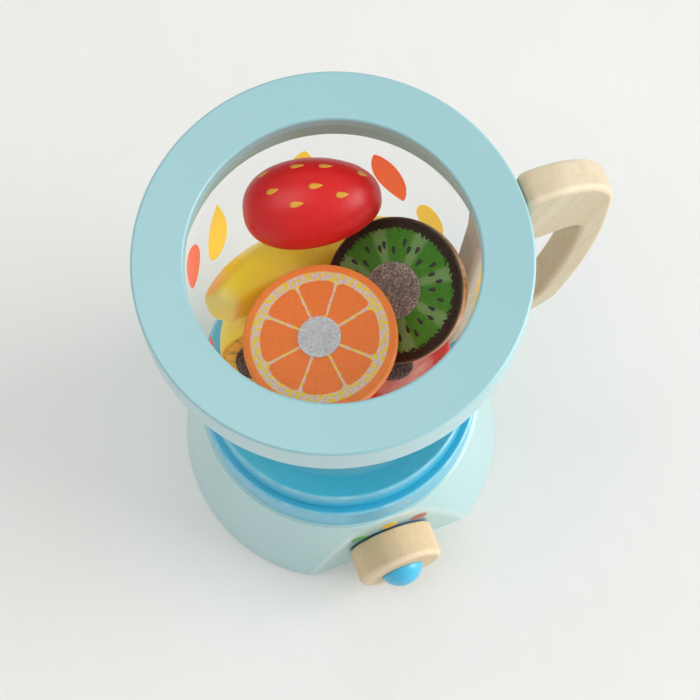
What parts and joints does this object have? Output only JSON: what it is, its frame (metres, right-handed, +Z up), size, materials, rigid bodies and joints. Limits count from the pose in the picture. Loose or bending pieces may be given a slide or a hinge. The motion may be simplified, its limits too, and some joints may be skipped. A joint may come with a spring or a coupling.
{
  "type": "toy blender",
  "caption": "Wooden toy blender: a lift-off clear jug with handle on a conical base with a turning knob, filled with cut play fruit",
  "frame": {"origin": "centre of the base's flat underside, on the surface that the blender stands on", "axes": "+Z up through the jug's mouth, -Y out of the flat front that carries the knob, +X to the handle"},
  "size_m": [0.1635, 0.1398, 0.215],
  "materials": {
    "base_paint": "pale mint blue satin paint on wood",
    "rim_paint": "pale blue satin paint on wood",
    "blue_paint": "mid blue satin paint on wood",
    "plain_wood": "clear lacquered beech",
    "dowel_wood": "bare beech dowel",
    "green_paint": "painted dot",
    "yellow_paint": "painted dot",
    "red_paint": "painted dot",
    "button_paint": "blue gloss paint on a turned wooden dome",
    "insert_brass": "threaded insert",
    "screw_steel": "zinc plated steel",
    "dark_washer": "dark blue plastic washer",
    "clear_plastic": "clear acrylic sheet bent to a cone",
    "orange_paint": "orange paint on wood with a printed cut face",
    "kiwi_paint": "printed cut face on wood, brown lacquered skin",
    "banana_paint": "yellow satin paint on wood",
    "strawberry_paint": "red satin paint on wood",
    "hook_tape": "dark hook tape glued to the cut face",
    "loop_tape": "pale loop tape glued to the cut face"
  },
  "bodies": {
    "base": {"base_body": "base_paint", "base_collar": "blue_paint", "collar_dowels": "dowel_wood", "locating_pegs": "dowel_wood", "green_dot": "green_paint", "yellow_dot": "yellow_paint", "red_dot": "red_paint", "knob_insert": "insert_brass", "knob_screw": "screw_steel", "back_washer": "dark_washer", "spring_washer": "screw_steel", "screw_washer": "screw_steel"},
    "knob": {"knob": "plain_wood", "knob_button": "button_paint"},
    "jug": {"jug_rim": "rim_paint", "clear_wall": "clear_plastic", "jug_floor": "blue_paint", "handle": "plain_wood", "upper_handle_dowel": "dowel_wood", "lower_handle_dowel": "dowel_wood"},
    "orange_bottom": {"orange_bottom_half": "orange_paint", "orange_bottom_pad": "hook_tape"},
    "kiwi_bottom": {"kiwi_bottom_half": "kiwi_paint", "kiwi_bottom_pad": "hook_tape"},
    "strawberry_lower": {"strawberry_lower_half": "strawberry_paint", "strawberry_lower_pad": "hook_tape"},
    "banana_lower": {"banana_lower_half": "banana_paint", "banana_lower_pad": "hook_tape"},
    "banana_upper": {"banana_upper_half": "banana_paint", "banana_upper_pad": "loop_tape"},
    "kiwi_top": {"kiwi_top_half": "kiwi_paint", "kiwi_top_pad": "loop_tape"},
    "orange_top": {"orange_top_half": "orange_paint", "orange_top_pad": "loop_tape"},
    "strawberry_upper": {"strawberry_upper_half": "strawberry_paint", "strawberry_upper_pad": "loop_tape"}
  },
  "joints": [
    {"name": "knob_turn", "type": "hinge", "parent": "base", "child": "knob", "pos_m": [0, -0.0548, 0.0225], "axis": [0, 1, 0], "range_deg": [-38, 38]},
    {"name": "jug_lift", "type": "slide", "parent": "base", "child": "jug", "axis": [0, 0, 1], "range_m": [0, 0.08]},
    {"name": "orange_bottom_lift", "type": "slide", "parent": "jug", "child": "orange_bottom", "axis": [0, 0, 1], "range_m": [0, 0.134]},
    {"name": "kiwi_bottom_lift", "type": "slide", "parent": "orange_bottom", "child": "kiwi_bottom", "axis": [0, 0, 1], "range_m": [0, 0.107]},
    {"name": "strawberry_lower_lift", "type": "slide", "parent": "kiwi_bottom", "child": "strawberry_lower", "axis": [0, 0, 1], "range_m": [0, 0.084]},
    {"name": "banana_lower_lift", "type": "slide", "parent": "strawberry_lower", "child": "banana_lower", "axis": [0, 0, 1], "range_m": [0, 0.12]},
    {"name": "banana_upper_lift", "type": "slide", "parent": "banana_lower", "child": "banana_upper", "axis": [0, 0, 1], "range_m": [0, 0.088]},
    {"name": "kiwi_top_lift", "type": "slide", "parent": "banana_upper", "child": "kiwi_top", "axis": [0, 0, 1], "range_m": [0, 0.068]},
    {"name": "orange_top_lift", "type": "slide", "parent": "kiwi_top", "child": "orange_top", "axis": [0, 0, 1], "range_m": [0, 0.058]},
    {"name": "strawberry_upper_lift", "type": "slide", "parent": "orange_top", "child": "strawberry_upper", "axis": [0, 0, 1], "range_m": [0, 0.031]}
  ]
}
